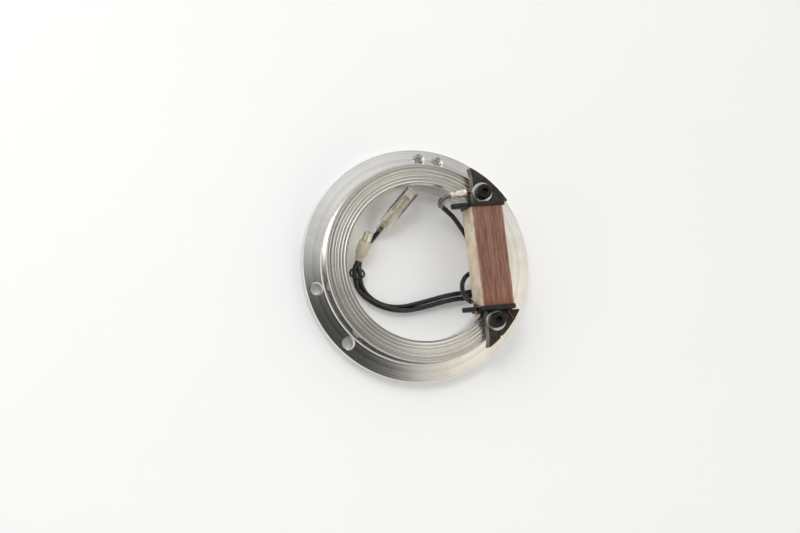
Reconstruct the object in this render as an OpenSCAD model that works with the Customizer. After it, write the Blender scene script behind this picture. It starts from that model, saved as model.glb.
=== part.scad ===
// Magneto stator plate with its source coil and a two-wire lead. Millimetres, +Z up.
// The origin is the centre of the bore on the back face, and +X points to the middle of the coil.

/* [Base ring] */
// Outside diameter of the flange
flange_d = 110; // [106:1:135]
// Thickness of the flange
flange_t = 7; // [5:0.1:9]
// Diameter of the raised boss
boss_d = 93; // [91:0.1:97]
// Diameter of the through bore
bore_d = 73; // [71:0.1:77]
// Height of the boss's top face above the back face
ring_h = 17.5; // [14:0.1:22]
// Chamfer on the ring's turned edges
ring_chamfer = 0.6; // [0.2:0.1:1]
// Depth of the grooves turned in the boss's top face
groove_depth = 0.12; // [0.05:0.01:0.3]
// Width of one turned groove
groove_w = 0.5; // [0.3:0.1:0.7]
// Number of turned grooves
groove_count = 6; // [2:1:8]
// Height of the land left under the coil when the boss is milled away
relief_land = 0.1; // [0.05:0.05:1]

/* [Flange holes] */
// Diameter of the circle on which the flange holes lie
hole_circle_d = 100.5; // [99.5:0.1:102]
// Diameter of a plain fixing hole
plain_hole_d = 5.5; // [4.5:0.1:6]
// Angle of the middle of the plain pair, from +X
plain_at = 205.5; // [180:0.5:230]
// Angle between the two plain holes
plain_gap = 33.3; // [15:0.1:60]
// Major diameter of a tapped hole
tapped_hole_d = 5; // [4:0.5:5.5]
// Angle of the middle of the tapped pair, from +X
tapped_at = 78; // [70:0.5:120]
// Angle between the two tapped holes
tapped_gap = 10.5; // [9:0.1:30]
// Chamfer at the mouth of a flange hole
hole_chamfer = 0.5; // [0.2:0.1:0.6]

/* [Core] */
// Radius of the pole faces
pole_r = 49.5; // [48:0.1:52]
// Thickness of one lamination
lam_t = 0.5; // [0.35:0.05:1]
// Number of laminations
lam_count = 10; // [6:1:14]
// Distance from the bore's axis to the poles' inner edge
pole_inner_x = 26.2; // [24:0.1:27]
// How far the pole tip hooks in past the inner edge
pole_hook = 0.9; // [0:0.1:2]
// Width of the leg inside the coil
leg_w = 6; // [4:0.1:7.5]
// Diameter of the clearance hole in a pole
pole_hole_d = 4.4; // [4.2:0.1:4.8]

/* [Coil] */
// Distance from the bore's axis to the coil's centre line
coil_x = 30.5; // [29:0.1:32]
// Outside width and height of the taped winding
coil_w = 15.7; // [12:0.1:19]
// Length of the bobbin over its two flanges
bobbin_len = 50.4; // [40:0.1:51]
// Thickness of a bobbin flange
bobbin_flange_t = 2; // [1:0.1:3]
// Wall of the bobbin's tube
bobbin_wall = 0.9; // [0.6:0.1:1.5]
// How far the bobbin's flange stands proud of the winding
bobbin_lip = 0.6; // [0.3:0.1:1]
// Thickness of the cloth tape
tape_t = 0.5; // [0.3:0.1:1]
// Length of a terminal lug beyond the flange
lug_len = 7.9; // [4:0.1:9]
// Height of a terminal lug
lug_h = 6; // [4:0.1:6]
// Clearance between the bobbin and the core
core_gap = 0.1; // [0.05:0.05:0.3]

/* [Screws] */
// Distance between the two coil screws
screw_span = 60; // [58:0.1:62]
// Distance from the bore's axis to the line of the screws
screw_x = 30; // [29:0.1:31]
// Thread diameter of a coil screw
screw_d = 4; // [3:0.5:4]
// Length of a coil screw under its head
screw_len = 14; // [10:1:16]
// Diameter of the screw's head
head_d = 7; // [6:0.1:8]
// Height of the screw's head
head_h = 4; // [3:0.1:5]
// Width across flats of the hexagon socket
socket_af = 3; // [2:0.5:4]
// Depth of the hexagon socket
socket_deep = 2.2; // [1:0.1:2.5]
// Outside diameter of a washer
washer_d = 9.5; // [8:0.1:10]
// Thickness of a washer
washer_t = 0.8; // [0.5:0.1:1.5]

/* [Terminals] */
// Diameter of a terminal pin
pin_d = 1; // [0.8:0.1:1.2]
// Diameter of the enamelled wire
magnet_wire_d = 0.5; // [0.3:0.1:0.6]
// Outside diameter of the crimp terminal's barrel
crimp_d = 3.4; // [3:0.1:4]

/* [Lead] */
// Diameter of one insulated wire
wire_d = 2.3; // [1.8:0.1:2.4]
// Diameter of the bare strands
strand_d = 1.3; // [0.8:0.1:1.4]
// Bore of a bullet socket
bullet_d = 3.9; // [3.5:0.1:4]
// Wall of a bullet socket
bullet_wall = 0.3; // [0.2:0.05:0.4]
// Outside diameter of the short sleeve
short_sleeve_d = 5.9; // [5.6:0.1:6.5]
// Outside diameter of the long clear sleeve
long_sleeve_d = 6.5; // [6:0.1:7]
// Wall of a sleeve
sleeve_wall = 0.5; // [0.3:0.05:0.6]
// Section diameter of the rubber slip ring
slip_ring_band = 0.9; // [0.7:0.1:1.2]
// Inside diameter of the rubber slip ring
slip_ring_id = 5.8; // [5.6:0.1:6.5]

/* [Hidden] */
$fn = 96;
thread_gap = 0.02;
slip_gap = 0.05;
over = 1;

flange_r = flange_d / 2;
boss_r = boss_d / 2;
bore_r = bore_d / 2;
hole_circle_r = hole_circle_d / 2;
bobbin_half = bobbin_len / 2;
relief_floor = flange_t + relief_land;
relief_half = bobbin_half + 0.4;

core_h = lam_t * lam_count;
core_top = ring_h + core_h;
coil_z = ring_h + core_h / 2;
pole_near_y = bobbin_half + 2 * core_gap;
pole_hook_y = pole_near_y + 12;
washer_top = core_top + washer_t;
tapped_deep = screw_len - core_h - washer_t + 1.5;

tube_w = leg_w + 2 * core_gap + 2 * bobbin_wall;
tube_h = core_h + 2 * core_gap + 2 * bobbin_wall;
winding_w = coil_w - 2 * tape_t;
winding_half = bobbin_half - bobbin_flange_t;
lip_w = coil_w + 2 * bobbin_lip;
flange_left = coil_x - lip_w / 2;
lug_tip_x = flange_left - lug_len;
lug_notch_x = flange_left - 1.4;
lug_notch_w = 1.6;

// The start pin leaves the far flange, turns at its corner and points into the crimp terminal.
pin_r = pin_d / 2;
pin_z = ring_h + 5.3;
start_corner = [pole_inner_x - 1.5, bobbin_half + 5.5, pin_z];
start_dir = [-0.9925, -0.1219, 0];
start_reach = 6;
wrap_turns = 5;
wrap_from = 0.1;
wrap_r = pin_r + magnet_wire_d / 2;
crimp_from = 2.8;
crimp_grip = 4.6;
crimp_waist = 1.2;
crimp_tail = 2;
crimp_wall = 0.35;
crimp_tail_from = crimp_from + crimp_grip + crimp_waist;
crimp_end = crimp_tail_from + crimp_tail;
// The end pin goes through the near lug.
end_pin_x = lug_notch_x;
end_pin_z = coil_z + 3;
end_pin_out = -bobbin_half - 1.2;
end_pin_in = -winding_half + 1.9;

wire_r = wire_d / 2;
strand_r = strand_d / 2;
wire_sides = 8;
barrel_r = bullet_d / 2 + bullet_wall;

// A socket's stretches, back from its mouth: barrel, neck, strand crimp and wire crimp.
grip_wall = 0.3;
a_socket = [7.4, 0.8, 1.6, 1.8];
b_socket = [8.4, 4.2, 2, 2.8];
// Socket A: where its sleeve starts, the way it points, and how far off its mouth is.
a_from = [-27.8, 4.7, 5.2];
a_dir = [4.4, 11.5, 7] / norm([4.4, 11.5, 7]);
a_len = 14.2;
a_sleeve_len = 9.4;
a_tail_len = 2;
a_wire_end = a_len - a_socket[0] - a_socket[1] - a_socket[2];
// Socket B, in the same way.
b_from = [-16.2, 17.7, 4];
b_dir = [14.2, 15.9, 14] / norm([14.2, 15.9, 14]);
b_len = 20.4;
b_sleeve_len = 25.4;
b_tail_len = 3.4;
b_wire_end = b_len - b_socket[0] - b_socket[1] - b_socket[2];
// A sleeve's tail slides over the wire crimp.
tail_gap = 0.15;
tail_in = wire_r + grip_wall + tail_gap;
tail_cone = 1.4;

// Middle of the slip ring, and its tilt towards the sockets.
ring_at = [-28.4, -1.3, 2.5];
ring_tilt = 37;

// Route of wire A: crimp terminal, under the coil, across the bore and up to socket A.
lead_a_route = [
    start_corner + start_dir * crimp_tail_from,
    [14, 29.39, 22.8],
    [11.7, 28.5, 22],
    [10.5, 27.3, 19.9],
    [11.3, 25.9, 17.4],
    [14.1, 23.9, 15],
    [17.9, 21, 12.6],
    [21.6, 16.8, 10.1],
    [24.9, 12, 8.4],
    [27.6, 6, 6.2],
    [29.8, 0, 4],
    [30.7, -5.6, 2.6],
    [30, -10.8, 2.4],
    [27.4, -14.8, 2.9],
    [23.4, -16.8, 3.8],
    [18.4, -17, 4.2],
    [12, -17.8, 3.9],
    [5.4, -19, 3.4],
    [-1, -20, 3.1],
    [-7.4, -20.4, 3.3],
    [-13.4, -19.6, 3.7],
    [-18.8, -17.7, 3.7],
    [-23.3, -15, 3.6],
    [-27, -11.4, 3],
    [-29, -7.8, 2.5],
    [-29.65, -4.4, 2.5],
    [-29.65, -0.8, 2.5],
    [-29.35, 1.2, 2.9],
    [-28.6, 3, 3.95],
    a_from,
    a_from + a_dir * a_wire_end
];
// Route of wire B: end pin, down beside the coil, back from under it and on to socket B.
lead_b_route = [
    [19.5, -20.3, 21],
    [18.9, -19.3, 19.2],
    [18.4, -17.2, 16.2],
    [18.6, -13.6, 13],
    [20, -9.8, 10.8],
    [22.8, -6.8, 9.5],
    [26.6, -5.7, 8.4],
    [29.9, -7.4, 7.3],
    [30.6, -10.6, 6.4],
    [28.2, -13.2, 5.6],
    [24, -14.3, 4.9],
    [18.6, -14.5, 4.3],
    [12, -15.3, 3.9],
    [5.4, -16.5, 3.3],
    [-1, -17.6, 2.7],
    [-7.4, -18.4, 1.8],
    [-13.4, -17.9, 1.3],
    [-18.6, -16.1, 1.2],
    [-22.8, -13.1, 1.2],
    [-25.8, -9.2, 1.6],
    [-27, -5.8, 2.3],
    [-27.15, -2.4, 2.5],
    [-27.1, 1.6, 2.5],
    [-26.4, 4.2, 1.9],
    [-25, 7.6, 1.3],
    [-22.6, 11, 1.2],
    [-18.7, 14.9, 1.6],
    b_from,
    b_from + b_dir * b_wire_end
];

function unit(v) = v / norm(v);

// Direction of a route at point i: the mean of the two stretches that meet there.
function heading(p, i) = unit(p[min(i + 1, len(p) - 1)] - p[max(i - 1, 0)]);

// One sideways vector for each point, carried along the route so that the tube doesn't twist.
function carried(p, i, side) =
    i == len(p) ? [] :
    let (t = heading(p, i), s = unit(side - (side * t) * t))
    concat([s], carried(p, i + 1, s));

// A closed tube of radius r along route p, with n flat sides.
module swept(p, r, n = wire_sides) {
    sides = carried(p, 0, [0.31, 0.17, 0.93]);
    last = len(p) - 1;
    points = [
        for (i = [0:last], k = [0:n - 1])
            let (s = sides[i], u = cross(heading(p, i), s), a = 360 * k / n)
            p[i] + r * (cos(a) * s + sin(a) * u)
    ];
    walls = [
        for (i = [0:last - 1], k = [0:n - 1])
            let (j = (k + 1) % n)
            [i * n + k, (i + 1) * n + k, (i + 1) * n + j, i * n + j]
    ];
    start_cap = [for (k = [0:n - 1]) k];
    end_cap = [for (k = [n - 1:-1:0]) last * n + k];
    polyhedron(points, concat(walls, [start_cap, end_cap]), convexity = 6);
}

// Turns +Z to point along d, from point p.
module along(p, d) {
    translate(p) rotate([0, acos(d[2] / norm(d)), atan2(d[1], d[0])]) children();
}

// A straight round rod from p to q.
module rod(p, q, r) {
    along(p, q - p) cylinder(h = norm(q - p), r = r);
}

// Bent round wire through the points of p, rounded at each bend.
module bent_rod(p, r) {
    for (i = [0:len(p) - 2]) rod(p[i], p[i + 1], r);
    for (i = [1:len(p) - 2]) translate(p[i]) sphere(r = r, $fn = 32);
}

// A tube turned about +Z.
module pipe(h, r_out, r_in) {
    difference() {
        cylinder(h = h, r = r_out);
        translate([0, 0, -over]) cylinder(h = h + 2 * over, r = r_in);
    }
}

// A rectangle in plan with rounded corners.
module rounded(w, h, r) {
    square([w - 2 * r, h], center = true);
    square([w, h - 2 * r], center = true);
    for (sx = [-1, 1], sy = [-1, 1])
        translate([sx * (w / 2 - r), sy * (h / 2 - r)]) circle(r = r, $fn = 48);
}

// Places a section drawn across the coil: its x runs along X, its y along Z, for y0 to y1 along Y.
module across_coil(y0, y1) {
    translate([coil_x, y1, coil_z]) rotate([90, 0, 0]) linear_extrude(height = y1 - y0) children();
}

// ---- Base ring ----

// Half section of the turned ring; the grooves are spread evenly over the boss's face.
module ring_section() {
    c = ring_chamfer;
    face_w = boss_r - bore_r - 2 * c;
    step = face_w / groove_count;
    foot = 0.35;
    grooves = [
        for (i = [0:groove_count - 1])
            let (r = boss_r - c - (i + 0.5) * step)
            each [[r + groove_w / 2, ring_h], [r, ring_h - groove_depth], [r - groove_w / 2, ring_h]]
    ];
    polygon(concat(
        [[bore_r + c, 0], [flange_r - c, 0], [flange_r, c], [flange_r, flange_t - c / 2],
         [flange_r - c / 2, flange_t], [boss_r + foot, flange_t], [boss_r, flange_t + foot],
         [boss_r, ring_h - c], [boss_r - c, ring_h]],
        grooves,
        [[bore_r + c, ring_h], [bore_r, ring_h - c], [bore_r, c]]
    ));
}

module flange_hole(angle, d) {
    r = d / 2;
    rotate([0, 0, angle]) translate([hole_circle_r, 0, 0]) {
        translate([0, 0, -over]) cylinder(h = flange_t + 2 * over, r = r);
        translate([0, 0, flange_t - hole_chamfer])
            cylinder(h = 2 * hole_chamfer, r1 = r, r2 = r + 2 * hole_chamfer);
        translate([0, 0, -hole_chamfer])
            cylinder(h = 2 * hole_chamfer, r1 = r + 2 * hole_chamfer, r2 = r);
    }
}

module base_ring() {
    color("silver")
    difference() {
        rotate_extrude($fn = 240) ring_section();
        for (s = [-1, 1]) {
            flange_hole(plain_at + s * plain_gap / 2, plain_hole_d);
            flange_hole(tapped_at + s * tapped_gap / 2, tapped_hole_d);
            translate([screw_x, s * screw_span / 2, ring_h - tapped_deep])
                cylinder(h = tapped_deep + over, r = screw_d / 2 + thread_gap);
        }
        intersection() {
            translate([screw_x / 2, -relief_half, relief_floor])
                cube([boss_r, 2 * relief_half, ring_h]);
            cylinder(h = ring_h * 2, r = boss_r + 0.4);
        }
    }
}

// ---- Core ----

// Plan of one lamination: two poles cut from the pole circle, joined by the leg.
module lamination() {
    difference() {
        union() {
            intersection() {
                circle(r = pole_r, $fn = 240);
                for (s = [0, 1]) mirror([0, s]) polygon([
                    [pole_inner_x, pole_near_y], [pole_inner_x, pole_hook_y],
                    [pole_inner_x - pole_hook, pole_r], [pole_r, pole_r], [pole_r, pole_near_y]
                ]);
            }
            translate([coil_x - leg_w / 2, -pole_near_y - over])
                square([leg_w, 2 * pole_near_y + 2 * over]);
        }
        for (s = [-1, 1]) translate([screw_x, s * screw_span / 2]) circle(d = pole_hole_d, $fn = 48);
        // Stacking notch in the near pole face.
        rotate(-49.5) translate([pole_r + 0.2, 0]) circle(r = 0.8, $fn = 24);
        // Blunt ends of the pole tips.
        for (s = [0, 1]) mirror([0, s]) {
            translate([pole_inner_x - pole_hook - 2.6, pole_r - 8.2]) rotate(15) square([5, 4]);
            rotate(32.1) translate([pole_r - 0.6, -6]) square([4, 5.4]);
        }
    }
}

module core_laminations() {
    color("dimgray")
    for (i = [0:lam_count - 1])
        translate([0, 0, ring_h + i * lam_t]) linear_extrude(height = lam_t) lamination();
}

// ---- Bobbin and winding ----

module lug(side) {
    y0 = side > 0 ? winding_half : -bobbin_half;
    tip_r = lug_h / 2;
    translate([0, y0 + bobbin_flange_t, coil_z + tip_r]) rotate([90, 0, 0])
        linear_extrude(height = bobbin_flange_t) {
            translate([lug_tip_x + tip_r, 0]) circle(r = tip_r, $fn = 48);
            translate([lug_tip_x + tip_r, -tip_r]) square([lug_len, lug_h]);
        }
}

// Half of the bobbin's tube and flanges; the lugs belong to the upper half.
module bobbin_half_solid(up) {
    difference() {
        union() {
            intersection() {
                union() {
                    across_coil(-bobbin_half, bobbin_half) square([tube_w, tube_h], center = true);
                    across_coil(-bobbin_half, -winding_half) rounded(lip_w, lip_w, 1.5);
                    across_coil(winding_half, bobbin_half) rounded(lip_w, lip_w, 1.5);
                }
                translate([-flange_r, -flange_r, up ? coil_z : coil_z - flange_r])
                    cube([2 * flange_r, 2 * flange_r, flange_r]);
            }
            if (up) {
                lug(1);
                lug(-1);
            }
        }
        across_coil(-bobbin_half - over, bobbin_half + over)
            square([leg_w + 2 * core_gap, core_h + 2 * core_gap], center = true);
        // Seats of the two terminal pins, and the notch in the near lug where the wire comes in.
        if (up) {
            rod([start_corner[0], winding_half + 0.2, pin_z], start_corner, pin_r);
            rod([end_pin_x, -bobbin_half - over, end_pin_z], [end_pin_x, -winding_half + over, end_pin_z], pin_r);
            translate([lug_notch_x - lug_notch_w / 2, -bobbin_half - over, end_pin_z])
                cube([lug_notch_w, bobbin_flange_t + 2 * over, lug_h]);
        }
    }
}

module bobbin_upper() {
    color("black") bobbin_half_solid(true);
}

module bobbin_lower() {
    color("black") bobbin_half_solid(false);
}

module winding() {
    color("peru") across_coil(-winding_half, winding_half) difference() {
        rounded(winding_w, winding_w, 1.4);
        square([tube_w, tube_h], center = true);
    }
}

module winding_tape() {
    color("rosybrown") across_coil(-winding_half, winding_half) difference() {
        rounded(coil_w, coil_w, 1.4 + tape_t);
        rounded(winding_w, winding_w, 1.4);
    }
}

// ---- Screws ----

module coil_screws() {
    color("black")
    for (s = [-1, 1]) translate([screw_x, s * screw_span / 2, washer_top]) difference() {
        union() {
            translate([0, 0, -screw_len]) cylinder(h = screw_len + over / 2, d = screw_d);
            cylinder(h = head_h - 0.4, d = head_d);
            translate([0, 0, head_h - 0.4]) cylinder(h = 0.4, d1 = head_d, d2 = head_d - 0.8);
        }
        translate([0, 0, head_h - socket_deep])
            cylinder(h = socket_deep + over, r = socket_af / sqrt(3), $fn = 6);
    }
}

module coil_washers() {
    color("gainsboro")
    for (s = [-1, 1]) translate([screw_x, s * screw_span / 2, core_top])
        pipe(washer_t, washer_d / 2, screw_d / 2 + 0.15);
}

// ---- Terminals ----

module start_pin() {
    color("silver") bent_rod([
        [start_corner[0], winding_half + 0.2, pin_z], start_corner, start_corner + start_dir * start_reach
    ], pin_r);
}

module end_pin() {
    color("silver")
    rod([end_pin_x, end_pin_out, end_pin_z], [end_pin_x, end_pin_in, end_pin_z], pin_r);
}

// Close turns of enamelled wire round a pin that starts at p and runs along d.
module wrap(p, d, from, turns) {
    pitch = magnet_wire_d;
    bumps = [
        for (i = [0:turns - 1], k = [[0.05, 0.5], [0.3, 0.95], [0.7, 0.95], [0.95, 0.5]])
            [pin_r + k[1] * pitch, (i + k[0]) * pitch]
    ];
    along(p + d * from, d) rotate_extrude($fn = 32)
        polygon(concat([[pin_r, 0]], bumps, [[pin_r, turns * pitch]]));
}

module start_wire() {
    r = magnet_wire_d / 2;
    from = start_corner + start_dir * (wrap_from + pin_r + r) - [0, 0, wrap_r];
    color("sienna") {
        wrap(start_corner, start_dir, wrap_from + pin_r, wrap_turns - 1);
        swept([
            from + [0, 0, 0.1], from + [0.1, -1.2, -0.4], from + [-0.3, -3, -1],
            [from[0] - 0.8, bobbin_half + r, from[2] - 1.6]
        ], r, 6);
    }
}

module end_wire() {
    r = magnet_wire_d / 2;
    from = [end_pin_x, -winding_half + r, end_pin_z + wrap_r];
    color("sienna") {
        wrap([end_pin_x, -winding_half, end_pin_z], [0, 1, 0], 0, 3);
        swept([
            from - [0, 0, 0.1], from + [0.7, 0.4, 0.1], [coil_x - coil_w / 2 - r, from[1] + 0.3, from[2] - 0.4]
        ], r, 6);
    }
}

// Tucked-in tail of enamelled wire that lies on the near pole, beside the washer.
module tail_wire() {
    r = magnet_wire_d / 2;
    from = [coil_x + 5.6, -bobbin_half - r, core_top + r];
    color("sienna") swept([
        from + [0, 0, 2.4], from + [0.1, -0.4, 0.8], from + [0.5, -1.2, 0.1], from + [1.4, -2.8, 0],
        from + [2.5, -4.2, 0], from + [3.4, -4.7, 0]
    ], r, 6);
}

module start_crimp() {
    crimp_r = crimp_d / 2;
    barrel_in = crimp_r - crimp_wall;
    grip_in = wire_r + slip_gap;
    grip_out = grip_in + crimp_wall;
    waist_out = crimp_r - 0.7;
    waist_to = crimp_grip + crimp_waist;
    color("khaki") along(start_corner + start_dir * crimp_from, start_dir) rotate_extrude($fn = 48) polygon([
        [barrel_in, 0], [crimp_r + 0.3, 0], [crimp_r, 0.8], [crimp_r, crimp_grip - 0.4],
        [waist_out, crimp_grip], [waist_out, waist_to - 0.3], [grip_out, waist_to],
        [grip_out, waist_to + crimp_tail], [grip_in, waist_to + crimp_tail], [grip_in, waist_to],
        [strand_r, waist_to], [strand_r, crimp_grip], [barrel_in, crimp_grip - 0.8]
    ]);
}

module start_strands() {
    color("peru")
    rod(start_corner + start_dir * start_reach, start_corner + start_dir * crimp_tail_from, strand_r);
}

// Clear sleeve that covers the first bend of wire A.
module start_sleeve() {
    first = start_corner + start_dir * (crimp_end + 0.1);
    route = [first, first + start_dir * 0.6, lead_a_route[2], lead_a_route[3], lead_a_route[4]];
    color("whitesmoke", 0.6) difference() {
        swept(route, wire_r + 0.65, 12);
        swept(lead_a_route, wire_r + 0.15, 12);
    }
}

// Solder that joins wire B's strands to the end pin.
module end_joint() {
    color("darkgray") {
        translate([end_pin_x, end_pin_in + 0.2, end_pin_z]) sphere(r = 0.95, $fn = 48);
        rod(lead_b_route[0], [end_pin_x, end_pin_in + 0.2, end_pin_z], strand_r);
        translate([end_pin_x, end_pin_out - 0.2, end_pin_z]) sphere(r = 0.8, $fn = 48);
    }
}

// ---- Lead ----

module lead_a() {
    color("black") swept(lead_a_route, wire_r);
}

module lead_b() {
    color("black") swept(lead_b_route, wire_r);
}

module slip_ring() {
    color("black") translate(ring_at) rotate([-ring_tilt, 0, 0]) rotate_extrude($fn = 64)
        translate([(slip_ring_id + slip_ring_band) / 2, 0]) circle(d = slip_ring_band, $fn = 24);
}

// Bullet socket whose mouth is length away along its axis; parts lists its stretches.
module bullet_socket(p, d, length, parts) {
    strand_out = strand_r + grip_wall;
    wire_out = wire_r + grip_wall;
    neck_r = strand_out - 0.1;
    barrel_from = length - parts[0];
    strand_to = barrel_from - parts[1];
    strand_from = strand_to - parts[2];
    wire_from = strand_from - parts[3];
    color("darkkhaki") along(p, d) rotate_extrude($fn = 64) polygon([
        [wire_r, wire_from], [wire_out, wire_from], [wire_out, strand_from - 0.2],
        [strand_out, strand_from + 0.2], [strand_out, strand_to - 0.2], [neck_r, strand_to],
        [neck_r, barrel_from - 0.3], [barrel_r, barrel_from + 0.5], [barrel_r, length - 0.15],
        [barrel_r - 0.15, length], [bullet_d / 2, length], [bullet_d / 2, barrel_from + 0.8],
        [neck_r, barrel_from + 0.4], [strand_r, barrel_from], [strand_r, strand_from],
        [wire_r, strand_from]
    ]);
}

// Bare strands inside a socket's crimp.
module bullet_strands(p, d, from, length) {
    color("peru") along(p + d * from, d) cylinder(h = length, r = strand_r);
}

// Sleeve with a narrow tail round the wire and a wide body round the socket.
module bullet_sleeve(p, d, length, tail, out_r) {
    along(p, d) rotate_extrude($fn = 64) polygon([
        [tail_in, 0], [tail_in + sleeve_wall, 0], [tail_in + sleeve_wall, tail],
        [out_r, tail + tail_cone], [out_r, length], [out_r - sleeve_wall, length],
        [out_r - sleeve_wall, tail + tail_cone], [tail_in, tail]
    ]);
}

module socket_a() {
    bullet_socket(a_from, a_dir, a_len, a_socket);
}

module strands_a() {
    bullet_strands(a_from, a_dir, a_wire_end, a_socket[2]);
}

module sleeve_a() {
    color("beige") bullet_sleeve(a_from, a_dir, a_sleeve_len, a_tail_len, short_sleeve_d / 2);
}

module socket_b() {
    bullet_socket(b_from, b_dir, b_len, b_socket);
}

module strands_b() {
    bullet_strands(b_from, b_dir, b_wire_end, b_socket[2]);
}

module sleeve_b() {
    color("whitesmoke", 0.6) bullet_sleeve(b_from, b_dir, b_sleeve_len, b_tail_len, long_sleeve_d / 2);
}

base_ring();
core_laminations();
bobbin_upper();
bobbin_lower();
winding();
winding_tape();
coil_screws();
coil_washers();
start_pin();
end_pin();
start_wire();
end_wire();
tail_wire();
start_crimp();
start_sleeve();
start_strands();
end_joint();
lead_a();
lead_b();
slip_ring();
socket_a();
strands_a();
sleeve_a();
socket_b();
strands_b();
sleeve_b();
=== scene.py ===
import math

import bmesh
import bpy
from mathutils import Matrix, Vector, noise


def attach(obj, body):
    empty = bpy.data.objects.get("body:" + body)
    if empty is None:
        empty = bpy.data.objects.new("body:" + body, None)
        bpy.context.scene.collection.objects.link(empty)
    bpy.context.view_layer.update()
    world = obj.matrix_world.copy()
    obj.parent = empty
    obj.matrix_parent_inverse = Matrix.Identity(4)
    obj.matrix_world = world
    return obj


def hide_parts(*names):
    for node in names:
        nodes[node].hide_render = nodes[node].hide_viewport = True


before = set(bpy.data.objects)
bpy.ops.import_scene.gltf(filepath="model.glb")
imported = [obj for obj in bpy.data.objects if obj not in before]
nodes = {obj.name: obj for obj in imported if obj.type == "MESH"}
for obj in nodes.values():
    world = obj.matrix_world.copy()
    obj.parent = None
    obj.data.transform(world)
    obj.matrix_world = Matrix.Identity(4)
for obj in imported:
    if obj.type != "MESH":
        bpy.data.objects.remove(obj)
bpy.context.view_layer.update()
mm = 0.001


# ---- Camera and cords ----

cameraView = {
    "aim": (-6.1, 1.0, -1.7),
    "azimuth": -68.64,
    "elevation": 72.39,
    "roll": 63.64,
    "distance": 756,
    "lens": 72,
}


def addCamera(view):
    data = bpy.data.cameras.new("viewCamera")
    data.lens = view["lens"]
    data.sensor_width = 36
    data.clip_end = 10
    camera = bpy.data.objects.new("viewCamera", data)
    bpy.context.collection.objects.link(camera)
    turn = (
        Matrix.Rotation(math.radians(view["azimuth"]), 4, "Z")
        @ Matrix.Rotation(math.radians(90 - view["elevation"]), 4, "X")
        @ Matrix.Rotation(math.radians(view["roll"]), 4, "Z")
    )
    back = turn @ Vector((0, 0, view["distance"] * mm))
    camera.matrix_world = Matrix.Translation(Vector(view["aim"]) * mm + back) @ turn
    bpy.context.scene.camera = camera


addCamera(cameraView)

# Where wire A's and wire B's sockets start, and the way they point, as the solids have it.
socketA = {
    "base": Vector((-27.8, 4.7, 5.2)),
    "way": Vector((4.4, 11.5, 7)).normalized(),
    "wireEnd": 4.4,
    "mouth": 14.2,
    "stretches": (7.4, 0.8, 1.6, 1.8),
}
socketB = {
    "base": Vector((-16.2, 17.7, 4)),
    "way": Vector((14.2, 15.9, 14)).normalized(),
    "wireEnd": 5.8,
    "mouth": 20.4,
    "stretches": (8.4, 4.2, 2, 2.8),
}
startPin = {
    "corner": Vector((24.7, 30.7, 22.8)),
    "way": Vector((-0.9925, -0.1219, 0)),
    "radius": 0.5,
    "crimpFrom": 2.8,
    "crimpGrip": 4.6,
    "crimpWaist": 1.2,
    "crimpTail": 2,
}
wireStart = startPin["crimpFrom"] + startPin["crimpGrip"] + startPin["crimpWaist"]
wireDiameter = 2.3

leadARoute = [
    tuple(startPin["corner"] + startPin["way"] * wireStart),
    (14, 29.39, 22.8),
    (11.7, 28.5, 22),
    (10.5, 27.3, 19.9),
    (11.3, 25.9, 17.4),
    (14.1, 23.9, 15),
    (17.9, 21, 12.6),
    (21.6, 16.8, 10.1),
    (24.9, 12, 8.4),
    (27.6, 6, 6.2),
    (29.8, 0, 4),
    (30.7, -5.6, 2.6),
    (30, -10.8, 2.4),
    (27.4, -14.8, 2.9),
    (23.4, -16.8, 3.8),
    (18.4, -17, 4.2),
    (12, -17.8, 3.9),
    (5.4, -19, 3.4),
    (-1, -20, 3.1),
    (-7.4, -20.4, 3.3),
    (-13.4, -19.6, 3.7),
    (-18.8, -17.7, 3.7),
    (-23.3, -15, 3.6),
    (-27, -11.4, 3),
    (-29, -7.8, 2.5),
    (-29.65, -4.4, 2.5),
    (-29.65, -0.8, 2.5),
    (-29.35, 1.2, 2.9),
    (-28.6, 3, 3.95),
    tuple(socketA["base"]),
    tuple(socketA["base"] + socketA["way"] * socketA["wireEnd"]),
]
leadBRoute = [
    (19.5, -20.3, 21),
    (18.9, -19.3, 19.2),
    (18.4, -17.2, 16.2),
    (18.6, -13.6, 13),
    (20, -9.8, 10.8),
    (22.8, -6.8, 9.5),
    (26.6, -5.7, 8.4),
    (29.9, -7.4, 7.3),
    (30.6, -10.6, 6.4),
    (28.2, -13.2, 5.6),
    (24, -14.3, 4.9),
    (18.6, -14.5, 4.3),
    (12, -15.3, 3.9),
    (5.4, -16.5, 3.3),
    (-1, -17.6, 2.7),
    (-7.4, -18.4, 1.8),
    (-13.4, -17.9, 1.3),
    (-18.6, -16.1, 1.2),
    (-22.8, -13.1, 1.2),
    (-25.8, -9.2, 1.6),
    (-27, -5.8, 2.3),
    (-27.15, -2.4, 2.5),
    (-27.1, 1.6, 2.5),
    (-26.4, 4.2, 1.9),
    (-25, 7.6, 1.3),
    (-22.6, 11, 1.2),
    (-18.7, 14.9, 1.6),
    tuple(socketB["base"]),
    tuple(socketB["base"] + socketB["way"] * socketB["wireEnd"]),
]


def smoothCurve(name, routes, radius, material=None, body="plate", fineness=5, perStretch=8):
    # The thickness is in the points' own radius, because Blender adds it to the curve's bounding box.
    data = bpy.data.curves.new(name, "CURVE")
    data.dimensions = "3D"
    data.bevel_depth = 1
    data.bevel_resolution = fineness
    data.resolution_u = perStretch
    data.use_fill_caps = True
    for route in routes:
        spline = data.splines.new("BEZIER")
        spline.bezier_points.add(len(route) - 1)
        for point, place in zip(spline.bezier_points, route):
            point.co = Vector(place) * mm
            point.radius = radius * mm
            point.handle_left_type = "AUTO"
            point.handle_right_type = "AUTO"
    piece = bpy.data.objects.new(name, data)
    bpy.context.collection.objects.link(piece)
    if material:
        data.materials.append(material)
    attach(piece, body)
    return piece


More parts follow.
